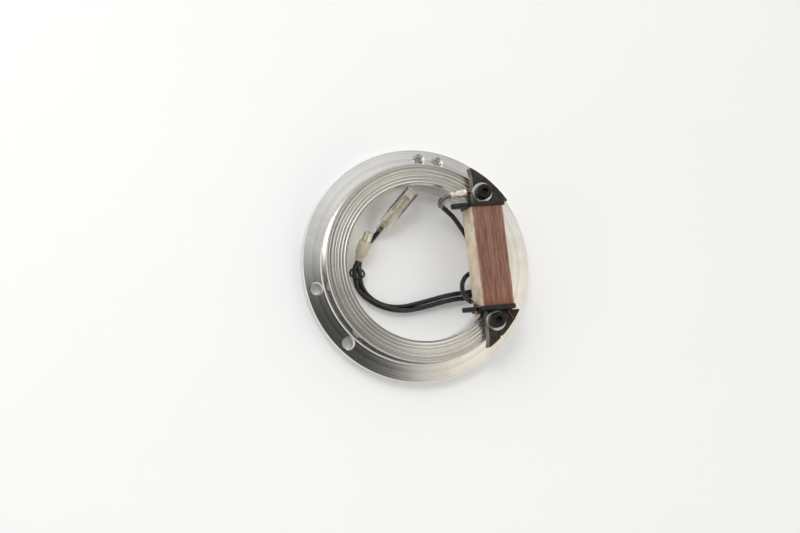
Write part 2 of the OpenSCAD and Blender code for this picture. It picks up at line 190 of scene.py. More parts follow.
def routeLength(piece):
    # Length of the curve's own line, read from a copy without its thickness.
    bare = piece.data.copy()
    bare.bevel_depth = 0
    probe = bpy.data.objects.new("probe", bare)
    bpy.context.collection.objects.link(probe)
    line = probe.to_mesh()
    places = [vertex.co for vertex in line.vertices]
    total = sum((places[edge.vertices[0]] - places[edge.vertices[1]]).length for edge in line.edges)
    probe.to_mesh_clear()
    bpy.data.objects.remove(probe)
    bpy.data.curves.remove(bare)
    return total


leadA = smoothCurve("leadA", [leadARoute], wireDiameter / 2)
leadB = smoothCurve("leadB", [leadBRoute], wireDiameter / 2)
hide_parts("lead_a")
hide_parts("lead_b")
lengthA = routeLength(leadA)
lengthB = routeLength(leadB)
print("cords", round(lengthA, 4), round(lengthB, 4))


# ---- Material tools ----


def srgb(red, green, blue):
    def straight(value):
        value /= 255
        return value / 12.92 if value <= 0.04045 else ((value + 0.055) / 1.055) ** 2.4

    return (straight(red), straight(green), straight(blue), 1)


def addNode(tree, kind, inputs=None, **settings):
    made = tree.nodes.new(kind)
    for key, value in settings.items():
        setattr(made, key, value)
    for key, value in (inputs or {}).items():
        if isinstance(value, bpy.types.NodeSocket):
            tree.links.new(value, made.inputs[key])
        else:
            made.inputs[key].default_value = value
    return made


def calc(tree, operation, a, b=0.0, c=0.0):
    return addNode(tree, "ShaderNodeMath", {0: a, 1: b, 2: c}, operation=operation).outputs[0]


def mixColour(tree, factor, a, b, blend="MIX"):
    made = addNode(tree, "ShaderNodeMix", {0: factor, 6: a, 7: b}, data_type="RGBA", blend_type=blend)
    return made.outputs[2]


def ramp(tree, value, low, high, outLow=0.0, outHigh=1.0):
    inputs = {"Value": value, "From Min": low, "From Max": high, "To Min": outLow, "To Max": outHigh}
    return addNode(tree, "ShaderNodeMapRange", inputs).outputs[0]


def newGroup(name, inputs, outputs):
    group = bpy.data.node_groups.new(name, "ShaderNodeTree")
    for label, (kind, default) in inputs.items():
        socket = group.interface.new_socket(label, in_out="INPUT", socket_type=kind)
        if default is not None:
            socket.default_value = default
    for label, kind in outputs.items():
        group.interface.new_socket(label, in_out="OUTPUT", socket_type=kind)
    return group, group.nodes.new("NodeGroupInput"), group.nodes.new("NodeGroupOutput")


def makeMottle():
    # Cloudy patches between 0 and 1, for stains and worn gloss.
    group, come, go = newGroup(
        "mottle",
        {
            "Vector": ("NodeSocketVector", None),
            "Scale": ("NodeSocketFloat", 100.0),
            "Low": ("NodeSocketFloat", 0.35),
            "High": ("NodeSocketFloat", 0.65),
        },
        {"Mask": "NodeSocketFloat"},
    )
    spots = addNode(
        group,
        "ShaderNodeTexNoise",
        {"Vector": come.outputs["Vector"], "Scale": come.outputs["Scale"], "Detail": 5.0, "Roughness": 0.6},
    )
    mask = addNode(
        group,
        "ShaderNodeMapRange",
        {
            "Value": spots.outputs[0],
            "From Min": come.outputs["Low"],
            "From Max": come.outputs["High"],
        },
        interpolation_type="SMOOTHSTEP",
    )
    group.links.new(mask.outputs[0], go.inputs["Mask"])
    return group


def makeTurned():
    # Fine lines that follow a lathe tool: they change with radius and height, not with angle.
    group, come, go = newGroup(
        "turned",
        {
            "Vector": ("NodeSocketVector", None),
            "Fine": ("NodeSocketFloat", 9000.0),
            "Coarse": ("NodeSocketFloat", 1200.0),
        },
        {"Lines": "NodeSocketFloat", "Bands": "NodeSocketFloat"},
    )
    parts = addNode(group, "ShaderNodeSeparateXYZ", {0: come.outputs["Vector"]}).outputs
    squares = [calc(group, "POWER", part, 2.0) for part in parts[:2]]
    across = calc(group, "SQRT", calc(group, "ADD", *squares))
    sizes = (("Lines", come.outputs["Fine"], 3.0), ("Bands", come.outputs["Coarse"], 4.0))
    for label, scale, detail in sizes:
        flat = addNode(group, "ShaderNodeCombineXYZ", {0: across, 1: parts[2], 2: 0.0}).outputs[0]
        lines = addNode(group, "ShaderNodeTexNoise", {"Vector": flat, "Scale": scale, "Detail": detail})
        group.links.new(lines.outputs[0], go.inputs[label])
    return group


def makeWeave():
    # Over-and-under threads on two directions of a UV map, in millimetres.
    group, come, go = newGroup(
        "weave",
        {"Vector": ("NodeSocketVector", None), "Threads": ("NodeSocketFloat", 18.0)},
        {"Height": "NodeSocketFloat"},
    )
    parts = addNode(group, "ShaderNodeSeparateXYZ", {0: come.outputs["Vector"]}).outputs
    waves = []
    for part in parts[:2]:
        phase = calc(group, "MULTIPLY", part, come.outputs["Threads"])
        waves.append(calc(group, "SINE", phase))
    height = calc(group, "MULTIPLY", waves[0], waves[1])
    group.links.new(height, go.inputs["Height"])
    return group


groups = {"mottle": makeMottle(), "turned": makeTurned(), "weave": makeWeave()}


def useGroup(tree, name, inputs):
    made = tree.nodes.new("ShaderNodeGroup")
    made.node_tree = groups[name]
    for key, value in inputs.items():
        if isinstance(value, bpy.types.NodeSocket):
            tree.links.new(value, made.inputs[key])
        else:
            made.inputs[key].default_value = value
    return made.outputs


def newMaterial(name, **plain):
    material = bpy.data.materials.new(name)
    material.use_nodes = True
    tree = material.node_tree
    shader = tree.nodes["Principled BSDF"]
    for key, value in plain.items():
        shader.inputs[key.replace("_", " ")].default_value = value
    place = addNode(tree, "ShaderNodeTexCoord").outputs["Object"]
    return material, tree, shader, place


def feed(tree, shader, colour=None, roughness=None, height=None, strength=0.3, depth=0.02):
    if colour is not None:
        tree.links.new(colour, shader.inputs["Base Color"])
    if roughness is not None:
        tree.links.new(roughness, shader.inputs["Roughness"])
    if height is not None:
        inputs = {"Strength": strength, "Distance": depth * mm, "Height": height}
        bump = addNode(tree, "ShaderNodeBump", inputs)
        tree.links.new(bump.outputs[0], shader.inputs["Normal"])


def machinedAluminium(p):
    material, tree, shader, place = newMaterial("machinedAluminium", Metallic=1.0)
    parts = addNode(tree, "ShaderNodeSeparateXYZ", {0: place}).outputs
    level = addNode(tree, "ShaderNodeCombineXYZ", {0: parts[0], 1: parts[1], 2: 0.0}).outputs[0]
    radius = addNode(tree, "ShaderNodeVectorMath", {0: level}, operation="LENGTH").outputs["Value"]
    raised = ramp(tree, parts[2], p["stepFrom"] * mm, p["stepTo"] * mm)
    turned = useGroup(tree, "turned", {"Vector": place, "Fine": 3200.0, "Coarse": 1300.0})
    stain = useGroup(tree, "mottle", {"Vector": place, "Scale": 38.0, "Low": 0.42, "High": 0.72})[0]
    # Turned rings: a lighter and a darker tone on flange and boss. These are real turning marks, and the
    # darker rings also carry painted shade in the grooves.
    onFlange = mixColour(tree, ramp(tree, turned[1], 0.36, 0.62), p["flange"][0], p["flange"][1])
    onBoss = mixColour(tree, ramp(tree, turned[1], 0.36, 0.62), p["boss"][0], p["boss"][1])
    # Dark score lines on the boss: real turning marks, darkened further as painted shade in the grooves.
    scoreAndGrooveShade = ramp(tree, turned[0], 0.38, 0.46)
    onBoss = mixColour(tree, scoreAndGrooveShade, p["scoreAndGrooveShade"], onBoss)
    colour = mixColour(tree, raised, onFlange, onBoss)
    colour = mixColour(tree, calc(tree, "MULTIPLY", stain, 0.3), colour, p["stain"])
    duller = calc(tree, "MULTIPLY", raised, 0.08)
    rough = calc(tree, "ADD", ramp(tree, turned[1], 0.3, 0.7, 0.12, 0.2), duller)
    lines = calc(tree, "ADD", calc(tree, "MULTIPLY", turned[0], 0.8), calc(tree, "MULTIPLY", turned[1], 0.4))
    lines = calc(tree, "MULTIPLY", lines, ramp(tree, raised, 0.0, 1.0, 0.4, 0.85))
    # Turning leaves each face slightly cone-shaped, so each side mirrors another part of the room.
    cone = calc(tree, "MULTIPLY", radius, ramp(tree, raised, 0.0, 1.0, p["flangeCone"], p["bossCone"]))
    feed(tree, shader, colour, rough, calc(tree, "SUBTRACT", lines, cone), 0.6, 0.03)
    return material


aluminium = {
    "stepFrom": 9.5,
    "stepTo": 10.5,
    "flange": (srgb(212, 210, 206), srgb(238, 236, 232)),
    "boss": (srgb(190, 185, 177), srgb(246, 243, 237)),
    "scoreAndGrooveShade": srgb(98, 93, 86),
    "stain": srgb(160, 151, 134),
    "flangeCone": 6500.0,
    "bossCone": 2000.0,
}


def edgeHighlightMask(tree):
    # 1 on the small slanted faces where an upright face meets a level one.
    facing = addNode(tree, "ShaderNodeNewGeometry").outputs["True Normal"]
    upward = calc(tree, "ABSOLUTE", addNode(tree, "ShaderNodeSeparateXYZ", {0: facing}).outputs[2])
    return calc(tree, "COMPARE", upward, 0.7, 0.25)


def laminationSteel():
    material, tree, shader, place = newMaterial("laminationSteel", Metallic=0.6)
    shade = useGroup(tree, "mottle", {"Vector": place, "Scale": 420.0, "Low": 0.35, "High": 0.7})[0]
    rust = useGroup(tree, "mottle", {"Vector": place, "Scale": 1100.0, "Low": 0.5, "High": 0.72})[0]
    base = mixColour(tree, shade, srgb(42, 39, 35), srgb(74, 70, 63))
    colour = mixColour(tree, calc(tree, "MULTIPLY", rust, 0.55), base, srgb(92, 76, 60))
    # The slanted edge faces are painted near-white: a painted highlight along each sheet's edge.
    colour = mixColour(tree, edgeHighlightMask(tree), colour, srgb(190, 184, 172))
    feed(tree, shader, colour, ramp(tree, shade, 0.0, 1.0, 0.38, 0.58), rust, 0.3, 0.03)
    return material


def blackPlastic():
    material, tree, shader, place = newMaterial("blackPlastic")
    dust = useGroup(tree, "mottle", {"Vector": place, "Scale": 300.0, "Low": 0.45, "High": 0.8})[0]
    grain = useGroup(tree, "mottle", {"Vector": place, "Scale": 2500.0, "Low": 0.3, "High": 0.7})[0]
    colour = mixColour(tree, dust, srgb(10, 10, 11), srgb(30, 29, 27))
    feed(tree, shader, colour, ramp(tree, dust, 0.0, 1.0, 0.45, 0.65), grain, 0.2, 0.02)
    return material


def clothTape():
    material, tree, shader, place = newMaterial("clothTape", Roughness=0.75)
    shader.inputs["Sheen Weight"].default_value = 0.15
    uv = addNode(tree, "ShaderNodeUVMap", uv_map="wrap").outputs[0]
    weave = useGroup(tree, "weave", {"Vector": uv, "Threads": 16.0})[0]
    varnish = addNode(tree, "ShaderNodeAttribute", attribute_name="varnish").outputs["Fac"]
    drawnOut = addNode(tree, "ShaderNodeMapping", {"Vector": place, "Scale": (1500, 70, 1500)}).outputs[0]
    inputs = {"Vector": drawnOut, "Scale": 1.0, "Detail": 6.0, "Roughness": 0.7}
    streak = addNode(tree, "ShaderNodeTexNoise", inputs).outputs[0]
    blotch = useGroup(tree, "mottle", {"Vector": place, "Scale": 160.0, "Low": 0.3, "High": 0.72})[0]
    fleck = useGroup(tree, "mottle", {"Vector": place, "Scale": 900.0, "Low": 0.5, "High": 0.75})[0]
    cream = mixColour(tree, blotch, srgb(214, 188, 152), srgb(244, 230, 202))
    red = mixColour(tree, ramp(tree, streak, 0.36, 0.6), srgb(104, 50, 36), srgb(160, 120, 100))
    red = mixColour(tree, calc(tree, "MULTIPLY", fleck, 0.12), red, srgb(160, 130, 112))
    along = addNode(tree, "ShaderNodeSeparateXYZ", {0: place}).outputs[1]
    nearEnd = ramp(tree, along, -18 * mm, -24 * mm)
    amber = calc(tree, "MULTIPLY", nearEnd, ramp(tree, streak, 0.35, 0.6, 0.3, 0.8))
    red = mixColour(tree, amber, red, srgb(136, 78, 44))
    colour = mixColour(tree, varnish, cream, red)
    thread = ramp(tree, weave, -0.5, 0.5, 0.86, 1.06)
    colour = mixColour(tree, 1.0, colour, thread, "MULTIPLY")
    height = calc(tree, "ADD", calc(tree, "MULTIPLY", weave, 0.6), calc(tree, "MULTIPLY", streak, 0.8))
    feed(tree, shader, colour, ramp(tree, streak, 0.3, 0.7, 0.6, 0.85), height, 0.5, 0.08)
    return material


def enamelledCopper():
    material, tree, shader, place = newMaterial("enamelledCopper", Metallic=0.3)
    shader.inputs["Coat Weight"].default_value = 0.6
    tone = useGroup(tree, "mottle", {"Vector": place, "Scale": 900.0, "Low": 0.3, "High": 0.7})[0]
    colour = mixColour(tree, tone, srgb(82, 30, 18), srgb(142, 66, 42))
    feed(tree, shader, colour, ramp(tree, tone, 0.0, 1.0, 0.25, 0.4), tone, 0.1, 0.01)
    return material


def plainMetal(name, dark, light, metallic, low, high, scale=600.0):
    material, tree, shader, place = newMaterial(name, Metallic=metallic)
    tone = useGroup(tree, "mottle", {"Vector": place, "Scale": scale, "Low": 0.3, "High": 0.7})[0]
    drawnOut = addNode(tree, "ShaderNodeMapping", {"Vector": place, "Scale": (4000, 600, 4000)}).outputs[0]
    inputs = {"Vector": drawnOut, "Scale": 1.0, "Detail": 3.0}
    scratch = addNode(tree, "ShaderNodeTexNoise", inputs).outputs[0]
    rough = ramp(tree, scratch, 0.3, 0.7, low, high)
    feed(tree, shader, mixColour(tree, tone, dark, light), rough, scratch, 0.12, 0.01)
    return material


def blackVinyl():
    material, tree, shader, place = newMaterial("blackVinyl")
    shader.inputs["Coat Weight"].default_value = 0.25
    tone = useGroup(tree, "mottle", {"Vector": place, "Scale": 260.0, "Low": 0.4, "High": 0.75})[0]
    colour = mixColour(tree, tone, srgb(16, 16, 17), srgb(34, 34, 35))
    feed(tree, shader, colour, ramp(tree, tone, 0.0, 1.0, 0.26, 0.42), tone, 0.15, 0.03)
    return material


def clearVinyl(name, tint, transmission, low, high):
    material, tree, shader, place = newMaterial(name)
    shader.inputs["Transmission Weight"].default_value = transmission
    shader.inputs["IOR"].default_value = 1.45
    haze = useGroup(tree, "mottle", {"Vector": place, "Scale": 350.0, "Low": 0.35, "High": 0.75})[0]
    colour = mixColour(tree, haze, tint, srgb(250, 248, 238))
    feed(tree, shader, colour, ramp(tree, haze, 0.0, 1.0, low, high), haze, 0.2, 0.05)
    return material


materials = {
    "machinedAluminium": machinedAluminium(aluminium),
    "laminationSteel": laminationSteel(),
    "blackPlastic": blackPlastic(),
    "clothTape": clothTape(),
    "enamelledCopper": enamelledCopper(),
    "blackOxide": plainMetal("blackOxide", srgb(9, 9, 9), srgb(26, 26, 25), 0.35, 0.36, 0.55),
    "zincSteel": plainMetal("zincSteel", srgb(176, 176, 172), srgb(216, 216, 212), 1.0, 0.2, 0.36),
    "tinnedPin": plainMetal("tinnedPin", srgb(150, 146, 136), srgb(196, 190, 176), 1.0, 0.25, 0.4),
    "tinnedBrass": plainMetal("tinnedBrass", srgb(214, 205, 180), srgb(244, 238, 222), 0.5, 0.26, 0.42),
    "bareCopper": plainMetal("bareCopper", srgb(170, 92, 58), srgb(214, 140, 100), 1.0, 0.25, 0.4),
    "solder": plainMetal("solder", srgb(140, 142, 130), srgb(190, 192, 180), 0.9, 0.2, 0.4),
    "blackVinyl": blackVinyl(),
    "clearVinyl": clearVinyl("clearVinyl", srgb(255, 253, 247), 0.93, 0.03, 0.1),
    "creamVinyl": clearVinyl("creamVinyl", srgb(244, 234, 204), 0.3, 0.3, 0.5),
    "slipRubber": plainMetal("slipRubber", srgb(12, 12, 12), srgb(34, 34, 34), 0.0, 0.5, 0.7),
}
print("materials", len(materials))


# ---- Mesh tools ----

upright = Vector((0, 0, 1))


def pointing(base, way):
    # Turns +Z to the given way, from a base given in millimetres, and scales to metres.
    tilt = math.acos(max(-1, min(1, way.z / way.length)))
    spin = math.atan2(way.y, way.x)
    return (
        Matrix.Scale(mm, 4)
        @ Matrix.Translation(base)
        @ Matrix.Rotation(spin, 4, "Z")
        @ Matrix.Rotation(tilt, 4, "Y")
    )


def meshFrom(name, made, sharp=32):
    bmesh.ops.remove_doubles(made, verts=made.verts, dist=1e-7)
    bmesh.ops.recalc_face_normals(made, faces=made.faces)
    mesh = bpy.data.meshes.new(name)
    made.to_mesh(mesh)
    made.free()
    mesh.shade_smooth()
    mesh.set_sharp_from_angle(angle=math.radians(sharp))
    return mesh


def addPiece(name, mesh, material, body="plate", replaced=()):
    piece = bpy.data.objects.new(name, mesh)
    bpy.context.collection.objects.link(piece)
    mesh.materials.clear()
    mesh.materials.append(materials[material])
    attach(piece, body)
    if replaced:
        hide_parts(*replaced)
    return piece


def turn(made, outline, matrix, segments=96, wobble=None):
    # Revolves a closed outline of (radius, distance) about the matrix's Z axis.
    rings = []
    for i in range(segments):
        angle = 2 * math.pi * i / segments
        ring = []
        for radius, along in outline:
            reach = wobble(radius, along, angle) if wobble else radius
            spot = Vector((reach * math.cos(angle), reach * math.sin(angle), along))
            ring.append(made.verts.new(matrix @ spot))
        rings.append(ring)
    count = len(outline)
    for i in range(segments):
        here, there = rings[i], rings[(i + 1) % segments]
        for j in range(count):
            k = (j + 1) % count
            if outline[j][0] == 0 and outline[k][0] == 0:
                continue
            corners = [here[j], there[j], there[k], here[k]]
            if outline[j][0] == 0:
                corners = [here[j], there[k], here[k]]
            elif outline[k][0] == 0:
                corners = [here[j], there[j], here[k]]
            made.faces.new(corners)


def prism(made, outline, low, high, matrix=Matrix.Scale(mm, 4)):
    bottom = [made.verts.new(matrix @ Vector((x, y, low))) for x, y in outline]
    top = [made.verts.new(matrix @ Vector((x, y, high))) for x, y in outline]
    made.faces.new(bottom[::-1])
    made.faces.new(top)
    for i in range(len(outline)):
        j = (i + 1) % len(outline)
        made.faces.new([bottom[i], bottom[j], top[j], top[i]])


def onCircle(radius, angle, height=0):
    turned = math.radians(angle)
    return Vector((radius * math.cos(turned), radius * math.sin(turned), height))


def arc(radius, start, end, steps):
    angles = [math.radians(start + (end - start) * i / steps) for i in range(steps + 1)]
    return [(radius * math.cos(a), radius * math.sin(a)) for a in angles]


def cut(mesh, cutters, sharp=32):
    # Takes each cutter mesh out of the mesh, and returns the result as a plain mesh.
    body = bpy.data.objects.new("cutBody", mesh)
    bpy.context.collection.objects.link(body)
    tools = []
    for cutter in cutters:
        tool = bpy.data.objects.new("cutTool", cutter)
        bpy.context.collection.objects.link(tool)
        modifier = body.modifiers.new("cut", "BOOLEAN")
        modifier.operation = "DIFFERENCE"
        modifier.solver = "EXACT"
        modifier.object = tool
        tools.append(tool)
    bpy.context.view_layer.update()
    graph = bpy.context.evaluated_depsgraph_get()
    result = bpy.data.meshes.new_from_object(body.evaluated_get(graph))
    for thing in [body, *tools]:
        bpy.data.objects.remove(thing)
    result.shade_smooth()
    result.set_sharp_from_angle(angle=math.radians(sharp))
    return result


def soften(node, material, width=0.12, steps=2):
    # A CAD node keeps its mesh: it is joined up, and its edges are broken, by modifiers.
    piece = nodes[node]
    weld = piece.modifiers.new("weld", "WELD")
    weld.merge_threshold = 1e-6
    if width:
        bevel = piece.modifiers.new("bevel", "BEVEL")
        bevel.width = width * mm
        bevel.segments = steps
        bevel.limit_method = "ANGLE"
        bevel.angle_limit = math.radians(40)
        bevel.harden_normals = False
    for slot in piece.material_slots:
        slot.material = materials[material]
    if not piece.material_slots:
        piece.data.materials.append(materials[material])
    piece.data.shade_smooth()


# ---- Repeated things, by geometry nodes ----


def geometryTree(name, inputs):
    tree = bpy.data.node_groups.new(name, "GeometryNodeTree")
    tree.interface.new_socket("Geometry", in_out="INPUT", socket_type="NodeSocketGeometry")
    for label, (kind, default) in inputs.items():
        tree.interface.new_socket(label, in_out="INPUT", socket_type=kind).default_value = default
    tree.interface.new_socket("Material", in_out="INPUT", socket_type="NodeSocketMaterial")
    tree.interface.new_socket("Geometry", in_out="OUTPUT", socket_type="NodeSocketGeometry")
    return tree, tree.nodes.new("NodeGroupInput"), tree.nodes.new("NodeGroupOutput")


def endTree(tree, come, go, geometry):
    real = addNode(tree, "GeometryNodeRealizeInstances", {0: geometry})
    inputs = {"Geometry": real.outputs[0], "Material": come.outputs["Material"]}
    painted = addNode(tree, "GeometryNodeSetMaterial", inputs)
    tree.links.new(painted.outputs[0], go.inputs[0])


def makeHelixTree():
    # A round wire or a thread ridge that climbs a helix.
    tree, come, go = geometryTree(
        "helix",
        {
            "Turns": ("NodeSocketFloat", 5.0),
            "Steps": ("NodeSocketInt", 24),
            "Radius": ("NodeSocketFloat", 0.001),
            "Height": ("NodeSocketFloat", 0.002),
            "Thickness": ("NodeSocketFloat", 0.0002),
            "Sides": ("NodeSocketInt", 8),
        },
    )
    line = addNode(
        tree,
        "GeometryNodeCurveSpiral",
        {
            "Resolution": come.outputs["Steps"],
            "Rotations": come.outputs["Turns"],
            "Start Radius": come.outputs["Radius"],
            "End Radius": come.outputs["Radius"],
            "Height": come.outputs["Height"],
        },
    )
    section = addNode(
        tree,
        "GeometryNodeCurvePrimitiveCircle",
        {"Resolution": come.outputs["Sides"], "Radius": come.outputs["Thickness"]},
    )
    tube = addNode(
        tree,
        "GeometryNodeCurveToMesh",
        {"Curve": line.outputs[0], "Profile Curve": section.outputs[0], "Fill Caps": True},
    )
    endTree(tree, come, go, tube.outputs[0])
    return tree


def makeStackTree():
    # Copies of a sheet, one above another.
    tree, come, go = geometryTree(
        "stack",
        {
            "Count": ("NodeSocketInt", 10),
            "Pitch": ("NodeSocketVector", (0.0, 0.0, 0.0005)),
            "Slip": ("NodeSocketFloat", 0.00005),
            "Seed": ("NodeSocketInt", 4),
        },
    )
    inputs = {"Count": come.outputs["Count"], "Offset": come.outputs["Pitch"]}
    line = addNode(tree, "GeometryNodeMeshLine", inputs)
    shift = addNode(
        tree,
        "FunctionNodeRandomValue",
        {0: (-1.0, -1.0, 0.0), 1: (1.0, 1.0, 0.0), "Seed": come.outputs["Seed"]},
        data_type="FLOAT_VECTOR",
    )
    inputs = {0: shift.outputs[0], "Scale": come.outputs["Slip"]}
    scaled = addNode(tree, "ShaderNodeVectorMath", inputs, operation="SCALE")
    inputs = {"Geometry": line.outputs[0], "Offset": scaled.outputs[0]}
    moved = addNode(tree, "GeometryNodeSetPosition", inputs)
    copies = addNode(
        tree,
        "GeometryNodeInstanceOnPoints",
        {"Points": moved.outputs[0], "Instance": come.outputs["Geometry"]},
    )
    endTree(tree, come, go, copies.outputs[0])
    return tree


trees = {"helix": makeHelixTree(), "stack": makeStackTree()}


def grown(treeName, values, material, start=None):
    # Runs a tree on a start mesh and returns its result as a plain mesh.
    tree = trees[treeName]
    host = bpy.data.objects.new("grown", start or bpy.data.meshes.new("grown"))
    bpy.context.collection.objects.link(host)
    modifier = host.modifiers.new("grow", "NODES")
    modifier.node_group = tree
    named = {item.name: item.identifier for item in tree.interface.items_tree if item.in_out == "INPUT"}
    for label, value in values.items():
        modifier[named[label]] = value
    modifier[named["Material"]] = materials[material]
    bpy.context.view_layer.update()
    graph = bpy.context.evaluated_depsgraph_get()
    result = bpy.data.meshes.new_from_object(host.evaluated_get(graph))
    bpy.data.objects.remove(host)
    return result


def helix(turns, radius, height, thickness, matrix, material, steps=24, sides=8):
    # All sizes are in millimetres; the matrix carries them to metres.
    values = {
        "Turns": float(turns), "Steps": steps, "Radius": float(radius), "Height": float(height),
        "Thickness": float(thickness), "Sides": sides,
    }
    mesh = grown("helix", values, material)
    mesh.transform(matrix)
    mesh.shade_smooth()
    return mesh


def joined(name, meshes):
    made = bmesh.new()
    for mesh in meshes:
        made.from_mesh(mesh)
    mesh = bpy.data.meshes.new(name)
    made.to_mesh(mesh)
    made.free()
    return mesh


# ---- Base ring ----

plate = {
    "flangeRadius": 55,
    "flangeThick": 7,
    "bossRadius": 46.5,
    "boreRadius": 36.5,
    "height": 17.5,
    "chamfer": 0.6,
    "foot": 0.35,
    "grooves": 6,
    "grooveWidth": 0.5,
    "grooveDepth": 0.12,
    "circle": 50.25,
    "plainHoles": (188.85, 222.15),
    "plainRadius": 2.75,
    "tappedHoles": (72.75, 83.25),
    "tappedRadius": 2.5,
    "threadFrom": 0.5,
    "threadLength": 6,
    "threadPitch": 0.8,
    "threadWidth": 0.3,
    "threadSunk": 0.08,
    "holeChamfer": 0.5,
    "reliefFloor": 7.1,
    "reliefHalf": 25.6,
    "reliefFrom": 15,
    "reliefWider": 0.4,
    "screwX": 30,
    "screwY": 30,
    "screwBore": 2,
    "screwFloor": 7.8,
}


def plateOutline(p):
    c, top, boss, bore, rim, thick = (
        p["chamfer"], p["height"], p["bossRadius"], p["boreRadius"], p["flangeRadius"], p["flangeThick"],
    )
    outline = [
        (bore + c, 0), (rim - c, 0), (rim, c), (rim, thick - c / 2), (rim - c / 2, thick),
        (boss + p["foot"], thick), (boss, thick + p["foot"]), (boss, top - c), (boss - c, top),
    ]
    step = (boss - bore - 2 * c) / p["grooves"]
    for i in range(p["grooves"]):
        radius = boss - c - (i + 0.5) * step
        half = p["grooveWidth"] * 0.4
        outline += [(radius + half, top), (radius, top - p["grooveDepth"]), (radius - half, top)]
    return outline + [(bore + c, top), (bore, top - c), (bore, c)]


def holeCutter(angle, radius, p):
    place = onCircle(p["circle"], angle)
    c, thick = p["holeChamfer"], p["flangeThick"]
    made = bmesh.new()
    outline = [
        (0, -1), (radius + c + 1, -1), (radius, c),
        (radius, thick - c), (radius + c + 1, thick + 1), (0, thick + 1),
    ]
    turn(made, outline, pointing(place, upright), 48)
    return meshFrom("cutter", made)


def basePlate(p):
    made = bmesh.new()
    turn(made, plateOutline(p), Matrix.Scale(mm, 4), 288)
    mesh = meshFrom("basePlate", made)
    cutters = [holeCutter(angle, p["plainRadius"], p) for angle in p["plainHoles"]]
    cutters += [holeCutter(angle, p["tappedRadius"], p) for angle in p["tappedHoles"]]
    made = bmesh.new()
    half, near, far = p["reliefHalf"], p["reliefFrom"], p["bossRadius"] + p["reliefWider"]
    edge = math.degrees(math.asin(half / far))
    outline = [(near, -half), *arc(far, -edge, edge, 60), (near, half)]
    prism(made, outline, p["reliefFloor"], p["height"] + 3)
    cutters.append(meshFrom("cutter", made))
    for side in (-1, 1):
        made = bmesh.new()
        place = Vector((p["screwX"], side * p["screwY"], 0))
        low, high, radius = p["screwFloor"], p["height"] + 1.5, p["screwBore"]
        turn(made, [(0, low), (radius, low), (radius, high), (0, high)], pointing(place, upright), 32)
        cutters.append(meshFrom("cutter", made))
    mesh = cut(mesh, cutters, 25)
    addPiece("basePlate", mesh, "machinedAluminium", "plate", ["base_ring"])
    threads = []
    for angle in p["tappedHoles"]:
        place = onCircle(p["circle"], angle, p["threadFrom"])
        matrix = pointing(place, upright)
        radius, length = p["tappedRadius"] - p["threadSunk"], p["threadLength"]
        turns = length / p["threadPitch"]
        threads.append(helix(turns, radius, length, p["threadWidth"], matrix, "machinedAluminium", 28, 6))
    mesh = joined("tappedThreads", threads)
    addPiece("tappedThreads", mesh, "machinedAluminium", "plate")


basePlate(plate)
print("plate done")


# ---- Core ----

core = {
    "low": 17.5,
    "sheet": 0.5,
    "count": 10,
    "poleRadius": 49.5,
    "innerX": 26.2,
    "nearY": 25.4,
    "hookX": 25.3,
    "hookY": 42,
    "hookFrom": 37.4,
    "legFrom": 27.5,
    "legTo": 33.5,
    "gap": 0.015,
    "edgeBreak": 0.06,
    "slip": 0.06,
    "screwHole": 2.2,
    "notch": 0.8,
    "notchRadius": 49.7,
    "notchAngle": -49.5,
}


def laminationOutline(c):
    tip = (c["hookX"] + 0.5, c["hookY"] + 0.15)
    tipAngle = math.degrees(math.atan2(tip[1], tip[0])) - 0.2
    nearX = math.sqrt(c["poleRadius"] ** 2 - c["nearY"] ** 2)
    nearAngle = math.degrees(math.atan2(c["nearY"], nearX))
    half = [
        (c["legFrom"], c["nearY"]), (c["innerX"], c["nearY"]),
        (c["innerX"], c["hookFrom"]), (c["hookX"], c["hookY"]), tip,
        *arc(c["poleRadius"], tipAngle, nearAngle + 0.5, 36),
        (nearX - 0.6, c["nearY"]), (c["legTo"], c["nearY"]),
    ]
    return half + [(x, -y) for x, y in reversed(half)]


def laminations(c):
    made = bmesh.new()
    prism(made, laminationOutline(c), c["gap"], c["sheet"] - c["gap"])
    edges = [e for e in made.edges if abs(e.verts[0].co.z - e.verts[1].co.z) < 1e-7]
    bmesh.ops.bevel(made, geom=edges, offset=c["edgeBreak"] * mm, segments=1, affect="EDGES")
    sheet = meshFrom("sheet", made)
    values = {"Count": c["count"], "Pitch": (0, 0, c["sheet"] * mm), "Slip": c["slip"] * mm, "Seed": 4}
    mesh = grown("stack", values, "laminationSteel", sheet)
    mesh.transform(Matrix.Translation((0, 0, c["low"] * mm)))
    spots = [(Vector((plate["screwX"], side * plate["screwY"], 0)), c["screwHole"], 32) for side in (-1, 1)]
    spots.append((onCircle(c["notchRadius"], c["notchAngle"]), c["notch"], 24))
    low, high = c["low"] - 1.5, c["low"] + 6.5
    holes = []
    for place, radius, segments in spots:
        made = bmesh.new()
        outline = [(0, low), (radius, low), (radius, high), (0, high)]
        turn(made, outline, pointing(place, upright), segments)
        holes.append(meshFrom("cutter", made))
    mesh = cut(mesh, holes, 25)
    addPiece("laminations", mesh, "laminationSteel", "plate", ["core_laminations"])


laminations(core)
print("core done")


# ---- Coil ----

for half in ("bobbin_upper", "bobbin_lower"):
    soften(half, "blackPlastic", 0.25, 2)
soften("winding", "enamelledCopper", 0)

coil = {
    "x": 30.5,
    "z": 20,
    "width": 15.7,
    "half": 23.1,
    "corner": 1.7,
    "skew": 1.35,
    "thick": 0.45,
    "rows": 90,
    "bulge": 0.22,
    "wrinkle": 0.1,
    "pinch": 0.18,
    "varnishFrom": 1.05,
    "varnishFade": 0.8,
}


